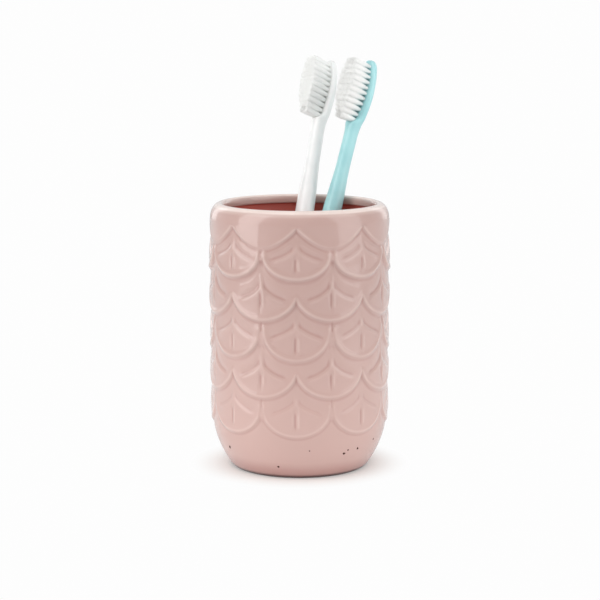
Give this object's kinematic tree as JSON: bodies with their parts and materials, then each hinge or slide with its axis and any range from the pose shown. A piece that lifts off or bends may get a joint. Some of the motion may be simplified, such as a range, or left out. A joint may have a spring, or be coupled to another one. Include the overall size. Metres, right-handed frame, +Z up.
{
  "type": "toothbrush holder",
  "caption": "Glazed ceramic tumbler with an overlapping fish-scale relief, holding toothbrushes that lean on its rim and lift out.",
  "frame": {"origin": "centre of the tumbler's flat foot, on the surface it stands on", "axes": "+Z up along the tumbler's axis; -Y is the side the picture shows; the brushes lean towards +Y"},
  "size_m": [0.0772, 0.0961, 0.1721],
  "materials": {
    "pink_glaze": "glossy dusty-pink glaze",
    "white_plastic": "glossy moulded plastic",
    "aqua_plastic": "glossy moulded plastic",
    "bristle_filament": "fine nylon filament"
  },
  "bodies": {
    "tumbler": {"tumbler_body": "pink_glaze"},
    "white_brush": {"white_brush_handle": "white_plastic", "white_brush_bristles": "bristle_filament"},
    "aqua_brush": {"aqua_brush_handle": "aqua_plastic", "aqua_brush_bristles": "bristle_filament"}
  },
  "joints": [
    {"name": "white_brush_lift", "type": "slide", "parent": "tumbler", "child": "white_brush", "axis": [0.0977, 0.3813, 0.9193], "range_m": [0, 0.13]},
    {"name": "aqua_brush_lift", "type": "slide", "parent": "tumbler", "child": "aqua_brush", "axis": [0.2882, 0.1444, 0.9466], "range_m": [0, 0.13]}
  ]
}
